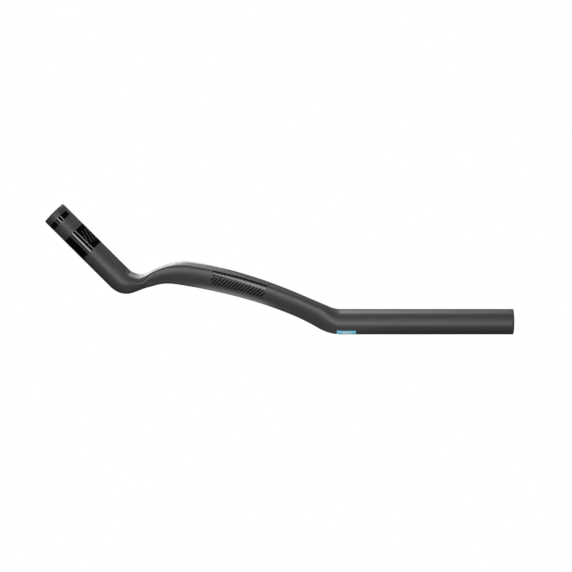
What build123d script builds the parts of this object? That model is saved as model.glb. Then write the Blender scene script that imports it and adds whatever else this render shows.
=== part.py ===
from build123d import *
import os
from math import ceil, cos, radians
from typing import NamedTuple

# Aero handlebar extension: one hollow moulded bar. It is round where it is clamped, rises to a
# broad hump for the palm, thins to a flat neck and turns up into a round tip.
# Sizes are in millimetres and degrees. The origin lies on the clamp axis, halfway along the straight
# clamp length. +X leads out of the rear opening, +Z is up, and the tip lies towards -X.

# Round ends
CLAMP_DIAMETER = 22.2
CLAMP_LENGTH = 150.0
TIP_DIAMETER = 22.2
TIP_LENGTH = 80.0
TIP_ANGLE = 45.0
WALL = 1.6
RIM_CHAMFER = 0.4

# Spine, from the front of the clamp length to the start of the tip
BEND_INNER_RADIUS = 21.5
RISE_ANGLE = 26.8
RISE_LENGTH = 124.0
CREST_ANGLE = 9.2
CREST_RADIUS = 59.0
NECK_ANGLE = 22.0
NECK_TURN = 24.5
NECK_LENGTH = 21.5
ELBOW_INNER_RADIUS = 2.9

# Width and height of the bar between its round ends: low on the rise, on the hump and at the neck
RISE_WIDTH = 23.5
RISE_HEIGHT = 19.5
RISE_SETTLE = 22.0
HUMP_WIDTH = 24.6
HUMP_HEIGHT = 21.5
HUMP_RUN = 15.0
NECK_WIDTH = 27.0
NECK_HEIGHT = 12.3
NECK_SETBACK = 14.5
ELBOW_ROUND_RUN = 4.0

# Form of a section: the share of its height that lies above its widest line, and the fullness of its
# crown and belly, which is the middle weight of their conic arcs
ROUND_CROWN = 0.5
ROUND = cos(radians(45))
PALM_CROWN = 0.26
PALM_FULLNESS = 0.88
PALM_BELLY = 0.55
PALM_SETTLE = 24.0
NECK_CROWN = 0.195
NECK_FULLNESS = 1.25
NECK_RUN = 6.0
ELBOW_CROWN = 0.57
ELBOW_SETTLE = 10.5

# Passage inside, between the bores of the round ends: round in the rise, flat in the neck
RISE_PASSAGE_DIAMETER = 16.0
NECK_PASSAGE_WIDTH = 12.0
NECK_PASSAGE_HEIGHT = 7.6

# Longest step between two sections of a loft
LOFT_STEP = 5.5


class Section(NamedTuple):
    """A section across the bar, by its size and its form."""

    width: float
    height: float
    crown: float
    crown_fullness: float
    belly_fullness: float


def blend(first, second, share):
    """Values between two others, with no jump in slope at either one."""
    share = min(max(share, 0), 1)
    eased = share * share * (3 - 2 * share)
    return [a + (b - a) * eased for a, b in zip(first, second)]


def between(known, distance):
    """Values at a distance along the spine, from those known at some distances."""
    for (start, first), (end, second) in zip(known, known[1:]):
        if distance <= end:
            return blend(first, second, (distance - start) / (end - start))
    return known[-1][1]


# The spine runs at mid height, away from the rear opening
bend_radius = BEND_INNER_RADIUS + CLAMP_DIAMETER / 2
rise_radius = RISE_LENGTH / radians(RISE_ANGLE - CREST_ANGLE)
neck_radius = NECK_LENGTH / radians(NECK_TURN)
elbow_radius = ELBOW_INNER_RADIUS + TIP_DIAMETER / 2
with BuildLine(Plane.XZ) as spine:
    bend = JernArc((-CLAMP_LENGTH / 2, 0), (-1, 0), bend_radius, -RISE_ANGLE)
    rise = JernArc(bend @ 1, bend % 1, rise_radius, RISE_ANGLE - CREST_ANGLE)
    crest = JernArc(rise @ 1, rise % 1, CREST_RADIUS, CREST_ANGLE + NECK_ANGLE)
    neck = JernArc(crest @ 1, crest % 1, neck_radius, -NECK_TURN)
    elbow = JernArc(neck @ 1, neck % 1, elbow_radius, NECK_TURN - NECK_ANGLE - TIP_ANGLE)
spine_wire = spine.wire()

rise_end = bend.length + rise.length
crest_end = rise_end + crest.length
elbow_start = crest_end + neck.length
elbow_end = elbow_start + elbow.length
tip_start = elbow_end - ELBOW_ROUND_RUN

# Size and form where they are known along the spine
sizes = [
    (0, (CLAMP_DIAMETER, CLAMP_DIAMETER)),
    (bend.length + RISE_SETTLE, (RISE_WIDTH, RISE_HEIGHT)),
    (rise_end - HUMP_RUN, (HUMP_WIDTH, HUMP_HEIGHT)),
    (rise_end, (HUMP_WIDTH, HUMP_HEIGHT)),
    (elbow_start - NECK_SETBACK, (NECK_WIDTH, NECK_HEIGHT)),
    (tip_start, (TIP_DIAMETER, TIP_DIAMETER)),
]
forms = [
    (0, (ROUND_CROWN, ROUND, ROUND)),
    (PALM_SETTLE, (PALM_CROWN, PALM_FULLNESS, PALM_BELLY)),
    (rise_end, (PALM_CROWN, PALM_FULLNESS, PALM_BELLY)),
    (crest_end - NECK_RUN, (NECK_CROWN, NECK_FULLNESS, ROUND)),
    (crest_end, (NECK_CROWN, NECK_FULLNESS, ROUND)),
    (crest_end + ELBOW_SETTLE, (ELBOW_CROWN, ROUND, ROUND)),
    (tip_start, (ROUND_CROWN, ROUND, ROUND)),
]


def bar_section(distance):
    return Section(*between(sizes, distance), *between(forms, distance))


def steps(start, end):
    """Even steps along the spine."""
    count = ceil((end - start) / LOFT_STEP)
    return [start + (end - start) * k / count for k in range(count + 1)]


def plane_at(distance):
    """The plane across the spine, with its own y axis towards the top of the bar."""
    return Plane(spine_wire.location_at(distance, PositionMode.LENGTH, x_dir=(0, -1, 0)))


def outline(section, distance):
    """The closed outline of a section, four conic arcs, as a sketch across the spine."""
    side = section.width / 2
    top = section.height / 2
    widest = top - section.crown * section.height
    with BuildSketch(plane_at(distance)) as across:
        with BuildLine():
            crown = [1, section.crown_fullness, 1]
            belly = [1, section.belly_fullness, 1]
            Bezier((side, widest), (side, top), (0, top), weights=crown)
            Bezier((0, top), (-side, top), (-side, widest), weights=crown)
            Bezier((-side, widest), (-side, -top), (0, -top), weights=belly)
            Bezier((0, -top), (side, -top), (side, widest), weights=belly)
        make_face()
    return across.sketch


# Hollow, open at both ends
with BuildPart() as hollow:
    with BuildSketch(plane_at(0)):
        Circle(CLAMP_DIAMETER / 2 - WALL)
    extrude(amount=-CLAMP_LENGTH)
    with BuildSketch(plane_at(0)):
        Circle(RISE_PASSAGE_DIAMETER / 2)
    sweep(path=bend + rise)
    with BuildSketch(plane_at(rise_end)):
        Rectangle(NECK_PASSAGE_WIDTH, NECK_PASSAGE_HEIGHT)
    sweep(path=crest + neck + elbow)
    with BuildSketch(plane_at(elbow_end)):
        Circle(TIP_DIAMETER / 2 - WALL)
    extrude(amount=TIP_LENGTH)

# Bar
with BuildPart() as extension_bar:
    loft([outline(bar_section(distance), distance) for distance in steps(0, elbow_end)])
    with BuildSketch(plane_at(0)):
        Circle(CLAMP_DIAMETER / 2)
    extrude(amount=-CLAMP_LENGTH)
    with BuildSketch(plane_at(elbow_end)):
        Circle(TIP_DIAMETER / 2)
    extrude(amount=TIP_LENGTH)
    rear_rim = extension_bar.edges().filter_by(GeomType.CIRCLE).sort_by(Axis.X)[-1]
    tip_rim = extension_bar.edges().filter_by(GeomType.CIRCLE).sort_by(Axis.Z)[-1]
    chamfer([rear_rim, tip_rim], RIM_CHAMFER)
    add(hollow.part, mode=Mode.SUBTRACT)
extension_bar.part.label = "extension_bar"

os.makedirs("parts", exist_ok=True)
export_step(extension_bar.part, "parts/extension_bar.step")
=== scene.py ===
from math import ceil, cos, pi, radians, sin
from typing import NamedTuple

import bpy
from mathutils import Matrix, Vector


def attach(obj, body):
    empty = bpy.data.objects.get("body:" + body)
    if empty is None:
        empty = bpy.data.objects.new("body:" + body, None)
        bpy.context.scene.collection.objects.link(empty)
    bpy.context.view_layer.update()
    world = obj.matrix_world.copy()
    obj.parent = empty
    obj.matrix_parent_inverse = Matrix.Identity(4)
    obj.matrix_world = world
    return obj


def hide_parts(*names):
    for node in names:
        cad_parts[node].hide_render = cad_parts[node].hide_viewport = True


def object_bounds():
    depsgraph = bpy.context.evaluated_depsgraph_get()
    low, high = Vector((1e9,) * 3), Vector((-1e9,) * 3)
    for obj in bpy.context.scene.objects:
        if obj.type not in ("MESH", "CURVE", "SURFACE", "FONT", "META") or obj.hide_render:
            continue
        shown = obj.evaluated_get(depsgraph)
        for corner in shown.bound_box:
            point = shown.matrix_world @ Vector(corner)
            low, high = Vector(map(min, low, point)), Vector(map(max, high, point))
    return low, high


# Looks of the aero handlebar extension: the bar, the marks on it and its label, in soft studio light.
# Sizes on the bar are in millimetres and degrees. Materials, stage, lights and camera are in metres.

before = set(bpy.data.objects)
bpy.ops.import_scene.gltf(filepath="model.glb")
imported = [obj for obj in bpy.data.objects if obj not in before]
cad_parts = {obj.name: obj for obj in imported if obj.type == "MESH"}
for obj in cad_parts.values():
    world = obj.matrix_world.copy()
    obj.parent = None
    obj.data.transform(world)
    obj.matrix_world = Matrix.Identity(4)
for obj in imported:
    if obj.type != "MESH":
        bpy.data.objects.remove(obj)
packed_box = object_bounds()

MM = 0.001

# Spine, as in the model
CLAMP_DIAMETER = 22.2
CLAMP_LENGTH = 150.0
TIP_DIAMETER = 22.2
TIP_LENGTH = 80.0
TIP_ANGLE = 45.0
WALL = 1.6
BEND_INNER_RADIUS = 21.5
RISE_ANGLE = 26.8
RISE_LENGTH = 124.0
CREST_ANGLE = 9.2
CREST_RADIUS = 59.0
NECK_ANGLE = 22.0
NECK_TURN = 24.5
NECK_LENGTH = 21.5
ELBOW_INNER_RADIUS = 2.9
RISE_SETTLE = 22.0
HUMP_RUN = 15.0
NECK_SETBACK = 14.5
ELBOW_ROUND_RUN = 4.0
PALM_SETTLE = 24.0
NECK_RUN = 6.0
ELBOW_SETTLE = 10.5

# Sections, as in the model: width and height, and then the share of the height above the widest
# line with the fullness of crown and belly
CLAMP_SIZE = (CLAMP_DIAMETER, CLAMP_DIAMETER)
RISE_SIZE = (23.5, 19.5)
HUMP_SIZE = (24.6, 21.5)
NECK_SIZE = (27.0, 12.3)
TIP_SIZE = (TIP_DIAMETER, TIP_DIAMETER)
ROUND = cos(radians(45))
ROUND_FORM = (0.5, ROUND, ROUND)
PALM_FORM = (0.26, 0.88, 0.55)
NECK_FORM = (0.195, 1.25, ROUND)
ELBOW_FORM = (0.57, ROUND, ROUND)

# Turns round a section start at its bottom and go by quarters: the widest line is at 1
TOP_TURN = 2
FULL_TURN = 4

# Small steps along and round the skin that give its slope, and the halvings that find a turn
SLOPE_STEP = 0.05
SLOPE_TURN = 0.01
HALVINGS = 30

# Mesh of the bar: points of a ring, steps between rings, and the rounding of the rims
RING_POINTS = 144
FINE_STEP = 0.8
PLAIN_STEP = 2.5
BORE_STEP = 2.0
RIM_ROUND = 0.4
BORE_ROUND = 0.2
RIM_MIDDLE_ANGLE = 45.0

# Finishes of the bar, in the order of its materials
SKIN_FINISH = 0
RIM_FINISH = 1
BORE_FINISH = 2

# Films on the skin: their grid, how high their tops and how deep their roots lie, and the angle at
# which an edge stays sharp
FILM_STEP = 0.6
FILM_LIFT = 0.04
PRINT_LIFT = 0.06
FILM_ROOT = -0.04
FILM_EDGE_ANGLE = 50.0

# Label under the front end of the clamp length, from the rear end and round from the bottom
LABEL_FROM_REAR = (137.5, 153.3)
LABEL_ANGLES = (-47.5, 47.5)
LABEL_STRIPE_FROM_REAR = (141.6, 149.2)
LABEL_STRIPE_ANGLES = ((-38.0, -24.0), (24.0, 38.0))

# Tip band and its printed strokes, from the tip end; angles run from the bottom up the near side
BAND_FROM_TIP = (24.5, 46.8)
BAND_ANGLES = (-180.0, 180.0)
STROKE_FROM_TIP = (28.8, 42.3)
STROKE_WIDTH_ANGLE = 3.4
STROKE_LEAN_ANGLE = 26.0
STROKE_ANGLES = (100.0, 118.0, 136.0, 154.0)

# Tip block, and beside it a thin line with a gap in its middle
BLOCK_FROM_TIP = (6.1, 11.1)
BLOCK_ANGLES = (-60.0, 145.0)
LINE_FROM_TIP = (4.2, 4.65)
LINE_ANGLES = ((-60.0, 62.0), (112.0, 150.0))

# Hump panel on the near side, from the rear end and by its height above the spine: a rail, and
# below it thin leaning bars that are cut off at the panel's ends
PANEL_FROM_REAR = (222.0, 270.0)
RAIL_HEIGHTS = (3.0, 7.2)
RAIL_HEIGHT_STEP = 0.3
PANEL_HEIGHTS = (-4.9, 2.4)
PANEL_PITCH = 2.9
PANEL_BAR_WIDTH = 1.25
PANEL_LEAN = -4.8
PANEL_COLUMNS = 3
PANEL_LEAST_WIDTH = 0.15

# Part of a noise's range over which a colour or a number changes
NOISE_LOW = 0.3
NOISE_HIGH = 0.7

# Floor, below the bar, and the surroundings' light on the bar
FLOOR_REACH = 4.0
FLOOR_DROP = 0.25
DIM = 0.02
WHITE = (1, 1, 1, 1)

# Points that the lights face
SUBJECT = Vector((-0.13, 0.0, 0.03))
HUMP = Vector((-0.182, 0.0, 0.03))
LABEL_MIDDLE = Vector((-0.0704, -0.004, -0.0105))

# Camera: its place, its tilt below the horizontal, and its lens and sensor in millimetres
CAMERA_PLACE = (-0.1234, -1.8705, 0.1200)
CAMERA_TILT = 2.717
CAMERA_LENS = 135.0
CAMERA_SENSOR = 36.0


class Section(NamedTuple):
    """A section across the bar, by its size and its form."""

    width: float
    height: float
    crown: float
    crown_fullness: float
    belly_fullness: float


class Place(NamedTuple):
    """A point of the spine and its heading above the horizontal, towards the tip."""

    x: float
    z: float
    heading: float


# Arcs of the spine, from the rear end: length and turn upwards
bend_turn = radians(RISE_ANGLE)
bend_length = (BEND_INNER_RADIUS + CLAMP_DIAMETER / 2) * bend_turn
crest_turn = radians(CREST_ANGLE + NECK_ANGLE)
crest_length = CREST_RADIUS * crest_turn
elbow_turn = radians(TIP_ANGLE + NECK_ANGLE - NECK_TURN)
elbow_length = (ELBOW_INNER_RADIUS + TIP_DIAMETER / 2) * elbow_turn
arcs = [
    (CLAMP_LENGTH, 0.0),
    (bend_length, bend_turn),
    (RISE_LENGTH, radians(CREST_ANGLE - RISE_ANGLE)),
    (crest_length, -crest_turn),
    (NECK_LENGTH, radians(NECK_TURN)),
    (elbow_length, elbow_turn),
    (TIP_LENGTH, 0.0),
]
bar_length = sum(length for length, turn in arcs)
rise_end = CLAMP_LENGTH + bend_length + RISE_LENGTH
crest_end = rise_end + crest_length
elbow_start = crest_end + NECK_LENGTH
elbow_end = elbow_start + elbow_length
tip_start = elbow_end - ELBOW_ROUND_RUN

# Size and form where they are known, from the rear end
sizes = [
    (CLAMP_LENGTH, CLAMP_SIZE),
    (CLAMP_LENGTH + bend_length + RISE_SETTLE, RISE_SIZE),
    (rise_end - HUMP_RUN, HUMP_SIZE),
    (rise_end, HUMP_SIZE),
    (elbow_start - NECK_SETBACK, NECK_SIZE),
    (tip_start, TIP_SIZE),
]
forms = [
    (CLAMP_LENGTH, ROUND_FORM),
    (CLAMP_LENGTH + PALM_SETTLE, PALM_FORM),
    (rise_end, PALM_FORM),
    (crest_end - NECK_RUN, NECK_FORM),
    (crest_end, NECK_FORM),
    (crest_end + ELBOW_SETTLE, ELBOW_FORM),
    (tip_start, ROUND_FORM),
]


def spine_at(along):
    """The place on the spine at a distance from the rear end."""
    x = CLAMP_LENGTH / 2
    z = 0.0
    heading = 0.0
    for length, turn in arcs:
        run = min(along, length)
        if turn:
            radius = length / turn
            turned = heading + run / radius
            x -= radius * (sin(turned) - sin(heading))
            z -= radius * (cos(turned) - cos(heading))
            heading = turned
        else:
            x -= run * cos(heading)
            z += run * sin(heading)
        along -= run
        if along <= 0:
            break
    return Place(x, z, heading)


def between(known, along):
    """Values at a distance from the rear end, with no jump in slope at the known ones."""
    for (start, first), (end, second) in zip(known, known[1:]):
        if along <= end:
            share = max((along - start) / (end - start), 0.0)
            eased = share * share * (3 - 2 * share)
            return [a + (b - a) * eased for a, b in zip(first, second)]
    return known[-1][1]


def section_at(along, inset=0.0):
    """The outer section at a distance from the rear end, or one that lies inside it all round."""
    section = Section(*between(sizes, along), *between(forms, along))
    return section._replace(width=section.width - 2 * inset, height=section.height - 2 * inset)


def outline_point(section, turn):
    """Sideways and upward place on a section, at a turn between its bottom and its top."""
    side = section.width / 2
    top = section.height / 2
    widest = top - section.crown * section.height
    if turn <= 1:
        share = turn
        weight = section.belly_fullness
        first, corner, last = (0.0, -top), (side, -top), (side, widest)
    else:
        share = turn - 1
        weight = section.crown_fullness
        first, corner, last = (side, widest), (side, top), (0.0, top)
    a = (1 - share) ** 2
    b = 2 * share * (1 - share) * weight
    c = share ** 2
    return tuple((a * p + b * q + c * r) / (a + b + c) for p, q, r in zip(first, corner, last))


def skin(along, turn, inset=0.0):
    """A point of the bar's skin, or of a skin inside it. Turn is positive on the near side."""
    place = spine_at(along)
    side, up = outline_point(section_at(along, inset), abs(turn))
    near = -side if turn >= 0 else side
    return Vector((place.x + up * sin(place.heading), near, place.z + up * cos(place.heading))) * MM


def outward(along, turn):
    """The skin's outward direction."""
    ahead = skin(along + SLOPE_STEP, turn) - skin(along - SLOPE_STEP, turn)
    higher = min(turn + SLOPE_TURN, TOP_TURN)
    lower = max(turn - SLOPE_TURN, -TOP_TURN)
    over = skin(along, higher) - skin(along, lower)
    return over.cross(ahead).normalized()


def turn_at_height(section, height):
    """The turn at which a section is this far above the spine, by halving."""
    low = 0.0
    high = TOP_TURN
    for _ in range(HALVINGS):
        middle = (low + high) / 2
        if outline_point(section, middle)[1] < height:
            low = middle
        else:
            high = middle
    return low


def turn_at_angle(section, angle):
    """The turn on a round section at an angle from its bottom, positive on the near side."""
    turn = turn_at_height(section, -cos(radians(angle)) * section.height / 2)
    return turn if angle >= 0 else -turn


def steps_between(start, end, step):
    """Even steps from start to end, each no longer than a step."""
    count = max(1, ceil(abs(end - start) / step))
    return [start + (end - start) * k / count for k in range(count + 1)]


def new_object(name, points, faces, smooth=True):
    """An object in the scene, made of points and faces."""
    mesh = bpy.data.meshes.new(name)
    mesh.from_pydata(points, [], faces)
    mesh.update()
    mesh.polygons.foreach_set("use_smooth", [smooth] * len(mesh.polygons))
    made = bpy.data.objects.new(name, mesh)
    bpy.context.scene.collection.objects.link(made)
    return made


# Materials


class Shading:
    """A new material's nodes, with short ways to add the ones used here."""

    def __init__(self, name):
        self.material = bpy.data.materials.new(name)
        self.material.use_nodes = True
        self.nodes = self.material.node_tree.nodes
        self.links = self.material.node_tree.links
        self.inputs = self.nodes["Principled BSDF"].inputs
        self.place = self.nodes.new("ShaderNodeTexCoord").outputs["Object"]

    def noise(self, scale, detail, vector=None):
        """A noise that follows the place on the bar, or a vector."""
        node = self.nodes.new("ShaderNodeTexNoise")
        node.inputs["Scale"].default_value = scale
        node.inputs["Detail"].default_value = detail
        self.links.new(vector or self.place, node.inputs["Vector"])
        return node.outputs["Fac"]

    def along_bar(self, along_scale, round_scale):
        """Coordinates along and round the bar, stretched."""
        node = self.nodes.new("ShaderNodeMapping")
        node.inputs["Scale"].default_value = (along_scale, round_scale, 1)
        self.links.new(self.nodes.new("ShaderNodeUVMap").outputs["UV"], node.inputs["Vector"])
        return node.outputs["Vector"]

    def vary(self, name, value, low, high):
        """Let a number of the shader follow a noise."""
        node = self.nodes.new("ShaderNodeMapRange")
        node.inputs["From Min"].default_value = NOISE_LOW
        node.inputs["From Max"].default_value = NOISE_HIGH
        node.inputs["To Min"].default_value = low
        node.inputs["To Max"].default_value = high
        self.links.new(value, node.inputs["Value"])
        self.links.new(node.outputs["Result"], self.inputs[name])

    def tint(self, value, dark, light):
        """Let the base colour follow a noise."""
        node = self.nodes.new("ShaderNodeValToRGB")
        low, high = node.color_ramp.elements
        low.position = NOISE_LOW
        low.color = (*dark, 1)
        high.position = NOISE_HIGH
        high.color = (*light, 1)
        self.links.new(value, node.inputs["Fac"])
        self.links.new(node.outputs["Color"], self.inputs["Base Color"])

    def relief(self, value, depth, strength):
        """Let the surface rise and fall with a noise."""
        node = self.nodes.new("ShaderNodeBump")
        node.inputs["Strength"].default_value = strength
        node.inputs["Distance"].default_value = depth
        self.links.new(value, node.inputs["Height"])
        self.links.new(node.outputs["Normal"], self.inputs["Normal"])


def satin_composite():
    """Charcoal composite under a satin coat, with faint fibre streaks along the bar."""
    shading = Shading("satin_composite")
    stretched = shading.along_bar(along_scale=60, round_scale=1400)
    streaks = shading.noise(scale=1.0, detail=3.0, vector=stretched)
    clouds = shading.noise(scale=260.0, detail=4.0)
    stipple = shading.noise(scale=3200.0, detail=2.0)
    shading.tint(streaks, dark=(0.047, 0.047, 0.049), light=(0.054, 0.054, 0.056))
    shading.vary("Roughness", clouds, low=0.40, high=0.46)
    shading.relief(stipple, depth=0.00002, strength=0.25)
    return shading.material


def cut_edge():
    """The sawn rim, where the ends of the fibres show."""
    shading = Shading("cut_edge")
    fibres = shading.noise(scale=4200.0, detail=4.0)
    shading.tint(fibres, dark=(0.012, 0.012, 0.013), light=(0.045, 0.045, 0.047))
    shading.inputs["Roughness"].default_value = 0.6
    shading.relief(fibres, depth=0.00004, strength=0.4)
    return shading.material


def bore_resin():
    """The inner wall as it leaves the mould: dull, with creases."""
    shading = Shading("bore_resin")
    creases = shading.noise(scale=240.0, detail=5.0)
    shading.inputs["Base Color"].default_value = (0.014, 0.014, 0.015, 1)
    shading.vary("Roughness", creases, low=0.45, high=0.7)
    shading.relief(creases, depth=0.0003, strength=0.5)
    return shading.material


def gloss_lacquer():
    """Black lacquer that mirrors the lights, with a slight ripple."""
    shading = Shading("gloss_lacquer")
    haze = shading.noise(scale=500.0, detail=3.0)
    ripple = shading.noise(scale=420.0, detail=1.0)
    shading.inputs["Base Color"].default_value = (0.0022, 0.0022, 0.0026, 1)
    shading.vary("Roughness", haze, low=0.03, high=0.06)
    shading.relief(ripple, depth=0.00002, strength=0.03)
    return shading.material


def printed(name, grain_scale, dark, light, roughness):
    """An even printed colour with a faint grain."""
    shading = Shading(name)
    shading.tint(shading.noise(grain_scale, detail=2.0), dark, light)
    shading.inputs["Roughness"].default_value = roughness
    return shading.material


def blue_film():
    """Printed film of the label."""
    return printed("blue_film", 2600.0, (0.24, 0.74, 0.97), (0.26, 0.78, 0.99), roughness=0.3)


def white_print():
    """White stripes on the label."""
    return printed("white_print", 2600.0, (0.82, 0.84, 0.85), (0.88, 0.89, 0.90), roughness=0.3)


def grey_print():
    """Thin grey strokes on the lacquer."""
    return printed("grey_print", 3000.0, (0.05, 0.05, 0.052), (0.07, 0.07, 0.072), roughness=0.35)


# Bar: rings along the skin, over the tip rim, back along the bore and over the rear rim


def rim_profile(end, inwards):
    """Distance from the rear end and inset, over a rounded rim from the skin to the bore."""
    bite = 1 - cos(radians(RIM_MIDDLE_ANGLE))
    return [
        (end + inwards * RIM_ROUND * bite, RIM_ROUND * bite),
        (end, RIM_ROUND),
        (end, WALL - BORE_ROUND),
        (end + inwards * BORE_ROUND * bite, WALL - BORE_ROUND * bite),
    ]


def ring_mesh(rings):
    """Points, faces and flat coordinates of a closed skin. A ring is a distance along and an inset."""
    turns = [FULL_TURN * k / RING_POINTS for k in range(RING_POINTS)]
    signed_turns = [turn if turn <= TOP_TURN else turn - FULL_TURN for turn in turns]
    made_points = [skin(along, turn, inset) for along, inset in rings for turn in signed_turns]
    made_faces = []
    flat_places = []
    girth = pi * CLAMP_DIAMETER
    for ring, (along, _) in enumerate(rings):
        following = (ring + 1) % len(rings)
        here = along * MM
        there = rings[following][0] * MM
        for k in range(RING_POINTS):
            after = (k + 1) % RING_POINTS
            low = girth * k / RING_POINTS * MM
            high = girth * (k + 1) / RING_POINTS * MM
            corners = [(ring, k), (ring, after), (following, after), (following, k)]
            made_faces.append([row * RING_POINTS + column for row, column in corners])
            flat_places += [here, low, here, high, there, high, there, low]
    return made_points, made_faces, flat_places


skin_alongs = (
    steps_between(RIM_ROUND, CLAMP_LENGTH, PLAIN_STEP)[:-1]
    + steps_between(CLAMP_LENGTH, elbow_end, FINE_STEP)[:-1]
    + steps_between(elbow_end, bar_length - RIM_ROUND, PLAIN_STEP)
)
bore_alongs = steps_between(bar_length - BORE_ROUND, BORE_ROUND, BORE_STEP)
skin_rings = [(along, 0.0) for along in skin_alongs]
tip_rim_rings = rim_profile(bar_length, -1)
bore_rings = [(along, WALL) for along in bore_alongs]
rear_rim_rings = rim_profile(0.0, 1)[::-1]
ring_finishes = (
    [SKIN_FINISH] * (len(skin_rings) - 1)
    + [RIM_FINISH] * (len(tip_rim_rings) + 1)
    + [BORE_FINISH] * (len(bore_rings) - 1)
    + [RIM_FINISH] * (len(rear_rim_rings) + 1)
)
bar_points, bar_faces, bar_flat_places = ring_mesh(
    skin_rings + tip_rim_rings + bore_rings + rear_rim_rings
)
bar = new_object("bar", bar_points, bar_faces)
for material in (satin_composite(), cut_edge(), bore_resin()):
    bar.data.materials.append(material)
bar.data.polygons.foreach_set(
    "material_index", [finish for finish in ring_finishes for _ in range(RING_POINTS)]
)
bar.data.uv_layers.new(name="along_and_round").data.foreach_set("uv", bar_flat_places)
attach(bar, "root")
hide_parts("extension_bar")

# Films on the skin: the label, the tip band and the marks


def film_mesh(grids, lift):
    """Points and faces of thin films. A grid holds rows of places, as distance along and turn."""
    made_points = []
    made_faces = []
    for grid in grids:
        rows = len(grid)
        columns = len(grid[0])
        upper = len(made_points)
        lower = upper + rows * columns
        places = [place for row in grid for place in row]
        for height in (lift, FILM_ROOT):
            made_points += [skin(*place) + outward(*place) * height * MM for place in places]
        for r in range(rows - 1):
            for c in range(columns - 1):
                k = r * columns + c
                quad = (k, k + 1, k + columns + 1, k + columns)
                made_faces.append([upper + i for i in quad])
                made_faces.append([lower + i for i in reversed(quad)])
        edge = list(range(columns))
        edge += [r * columns + columns - 1 for r in range(1, rows)]
        edge += [(rows - 1) * columns + c for c in range(columns - 2, -1, -1)]
        edge += [r * columns for r in range(rows - 2, 0, -1)]
        for here, there in zip(edge, edge[1:] + edge[:1]):
            made_faces.append((upper + there, upper + here, lower + here, lower + there))
    return made_points, made_faces


def new_film(name, grids, material, lift=FILM_LIFT):
    """A piece made of thin films, one for each grid."""
    film = new_object(name, *film_mesh(grids, lift))
    film.data.materials.append(material)
    film.data.set_sharp_from_angle(angle=radians(FILM_EDGE_ANGLE))
    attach(film, "root")


def wrap(alongs, angles, section, lean=0.0):
    """A grid round a round stretch, between two distances and two angles that lean on the way."""
    arc = radians(angles[1] - angles[0]) * section.width / 2
    round_steps = steps_between(*angles, (angles[1] - angles[0]) * FILM_STEP / arc)
    grid = []
    for along in steps_between(*alongs, FILM_STEP):
        shift = lean * (along - alongs[0]) / (alongs[1] - alongs[0])
        grid.append([(along, turn_at_angle(section, angle + shift)) for angle in round_steps])
    return grid


def near_side(along, height):
    """The place on the near side at a height above the spine, as distance along and turn."""
    return along, turn_at_height(section_at(along), height)


def panel_rail():
    """A grid on the near side: the rail, from one end of the panel to the other."""
    alongs = steps_between(*PANEL_FROM_REAR, FILM_STEP)
    heights = steps_between(*RAIL_HEIGHTS, RAIL_HEIGHT_STEP)
    return [[near_side(along, height) for height in heights] for along in alongs]


def panel_bar(foot):
    """A grid on the near side: a bar that leans up from its foot, as far as it lies in the panel."""
    start, end = PANEL_FROM_REAR
    low, high = PANEL_HEIGHTS
    shares = [k / (PANEL_COLUMNS - 1) for k in range(PANEL_COLUMNS)]
    rows = []
    for height in steps_between(low, high, FILM_STEP):
        shift = PANEL_LEAN * (height - low) / (high - low)
        first = max(foot + shift, start)
        last = min(foot + PANEL_BAR_WIDTH + shift, end)
        if last - first > PANEL_LEAST_WIDTH:
            rows.append([near_side(first + (last - first) * share, height) for share in shares])
    return list(zip(*rows))


def panel_feet():
    """Feet of the leaning bars. The last ones stand past the panel's end and lean into it."""
    start, end = PANEL_FROM_REAR
    count = int((end - start - PANEL_LEAN) / PANEL_PITCH)
    return [start + k * PANEL_PITCH for k in range(count)]


def before_tip(distances):
    """Distances from the tip end as distances from the rear end."""
    return (bar_length - distances[1], bar_length - distances[0])


clamp_round = section_at(0.0)
tip_round = section_at(bar_length)
label = wrap(LABEL_FROM_REAR, LABEL_ANGLES, clamp_round)
label_stripes = [
    wrap(LABEL_STRIPE_FROM_REAR, angles, clamp_round) for angles in LABEL_STRIPE_ANGLES
]
band = wrap(before_tip(BAND_FROM_TIP), BAND_ANGLES, tip_round)
strokes = [
    wrap(
        before_tip(STROKE_FROM_TIP),
        (angle, angle + STROKE_WIDTH_ANGLE),
        tip_round,
        STROKE_LEAN_ANGLE,
    )
    for angle in STROKE_ANGLES
]
block = wrap(before_tip(BLOCK_FROM_TIP), BLOCK_ANGLES, tip_round)
lines = [wrap(before_tip(LINE_FROM_TIP), angles, tip_round) for angles in LINE_ANGLES]
panel = [panel_rail()] + [panel_bar(foot) for foot in panel_feet()]
new_film("label", [label], blue_film())
new_film("label_stripes", label_stripes, white_print(), PRINT_LIFT)
new_film("gloss_marks", [band, block, *lines, *panel], gloss_lacquer())
new_film("band_strokes", strokes, grey_print(), PRINT_LIFT)

# Stage: a floor that looks white and neither lights nor shades the bar


def stage_white():
    """An even white glow."""
    material = bpy.data.materials.new("stage_white")
    material.use_nodes = True
    nodes = material.node_tree.nodes
    nodes.remove(nodes["Principled BSDF"])
    glow = nodes.new("ShaderNodeEmission").outputs["Emission"]
    material.node_tree.links.new(glow, nodes["Material Output"].inputs["Surface"])
    return material


floor_level = packed_box[0][2] - FLOOR_DROP
floor_corners = ((-1, -1), (1, -1), (1, 1), (-1, 1))
floor_points = [(x * FLOOR_REACH, y * FLOOR_REACH, floor_level) for x, y in floor_corners]
floor = new_object("floor", floor_points, [(0, 1, 2, 3)], smooth=False)
floor.data.materials.append(stage_white())
floor.visible_diffuse = False
floor.visible_glossy = False
floor.visible_shadow = False

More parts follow.
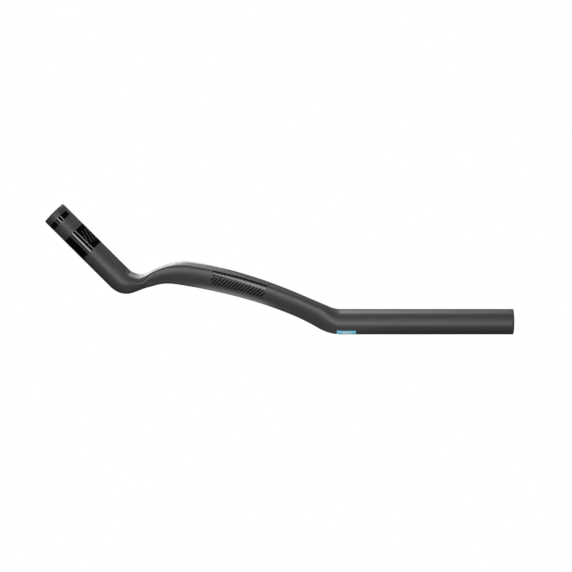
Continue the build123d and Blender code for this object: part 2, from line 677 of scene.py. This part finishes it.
# Surroundings: they look white, and light the bar only dimly
world = bpy.data.worlds.new("studio")
world.use_nodes = True
bpy.context.scene.world = world
world_nodes = world.node_tree.nodes
world_links = world.node_tree.links
around = world_nodes["Background"]
around.inputs["Color"].default_value = WHITE
around.inputs["Strength"].default_value = DIM
seen = world_nodes.new("ShaderNodeBackground")
seen.inputs["Color"].default_value = WHITE
to_camera = world_nodes.new("ShaderNodeLightPath").outputs["Is Camera Ray"]
# Both of the mixer's shader inputs have one name, so they go by number
either = world_nodes.new("ShaderNodeMixShader")
world_links.new(to_camera, either.inputs["Fac"])
world_links.new(around.outputs["Background"], either.inputs[1])
world_links.new(seen.outputs["Background"], either.inputs[2])
world_links.new(either.outputs["Shader"], world_nodes["World Output"].inputs["Surface"])

# Lights: each by its direction and distance from its target, its width and height, and its brightness


def soft_light(name, direction, distance, size, brightness, target=SUBJECT, mirrored=True):
    """A softbox of an even brightness, facing its target, with its width level.

    One that isn't mirrored lights the bar without a glint.
    """
    lamp = bpy.data.lights.new(name, "AREA")
    lamp.shape = "RECTANGLE"
    lamp.size, lamp.size_y = size
    lamp.energy = brightness * pi * size[0] * size[1]
    made = bpy.data.objects.new(name, lamp)
    bpy.context.scene.collection.objects.link(made)
    towards = Vector(direction).normalized()
    level = (Vector((1, 0, 0)) - towards * towards.x).normalized()
    made.location = target + towards * distance
    made.rotation_euler = Matrix((level, towards.cross(level), towards)).transposed().to_euler()
    made.visible_camera = False
    made.visible_glossy = mirrored


soft_light("overhead", (-0.06, 0.20, 0.98), 1.2, (0.45, 0.60), 9.5)
soft_light("overhead_right", (0.18, 0.24, 0.95), 1.2, (0.30, 0.50), 1.2)
soft_light("left_high", (-0.30, 0.55, 0.78), 1.2, (0.28, 0.50), 16.0)
soft_light("left_low", (-0.57, 0.71, 0.41), 1.2, (0.50, 0.45), 12.0)
soft_light("rear", (-0.15, 0.90, 0.42), 1.2, (0.35, 0.30), 6.0)
soft_light("right", (0.97, 0.10, 0.20), 1.2, (0.50, 0.50), 5.0)
soft_light("front_left", (-0.24, -0.96, -0.09), 1.4, (0.34, 0.35), 9.2)
soft_light("front_low", (-0.56, -0.76, -0.33), 1.5, (0.30, 0.28), 1.3)
soft_light("front_right", (0.06, -0.98, -0.22), 1.4, (0.45, 0.75), 6.4)
soft_light("front_line", (0.12, -0.93, 0.36), 1.4, (0.90, 0.10), 7.8)
soft_light("under_hump", (0.0, 0.35, -0.94), 0.055, (0.06, 0.04), 2.1, HUMP)
soft_light("under", (-0.23, 0.28, -0.93), 1.0, (0.25, 0.60), 0.45, HUMP)
soft_light("under_label", (0.0, -0.50, -0.87), 0.045, (0.03, 0.02), 2.4, LABEL_MIDDLE, mirrored=False)
soft_light("fill", (-0.30, -0.85, 0.30), 1.6, (1.0, 1.0), 1.4, mirrored=False)

# Camera, at the photograph's viewing angle
camera = bpy.data.cameras.new("camera")
camera.lens = CAMERA_LENS
camera.sensor_width = CAMERA_SENSOR
viewpoint = bpy.data.objects.new("camera", camera)
viewpoint.location = CAMERA_PLACE
viewpoint.rotation_euler = (radians(90 - CAMERA_TILT), 0.0, 0.0)
bpy.context.scene.collection.objects.link(viewpoint)
bpy.context.scene.camera = viewpoint
bpy.context.scene.view_settings.view_transform = "Standard"
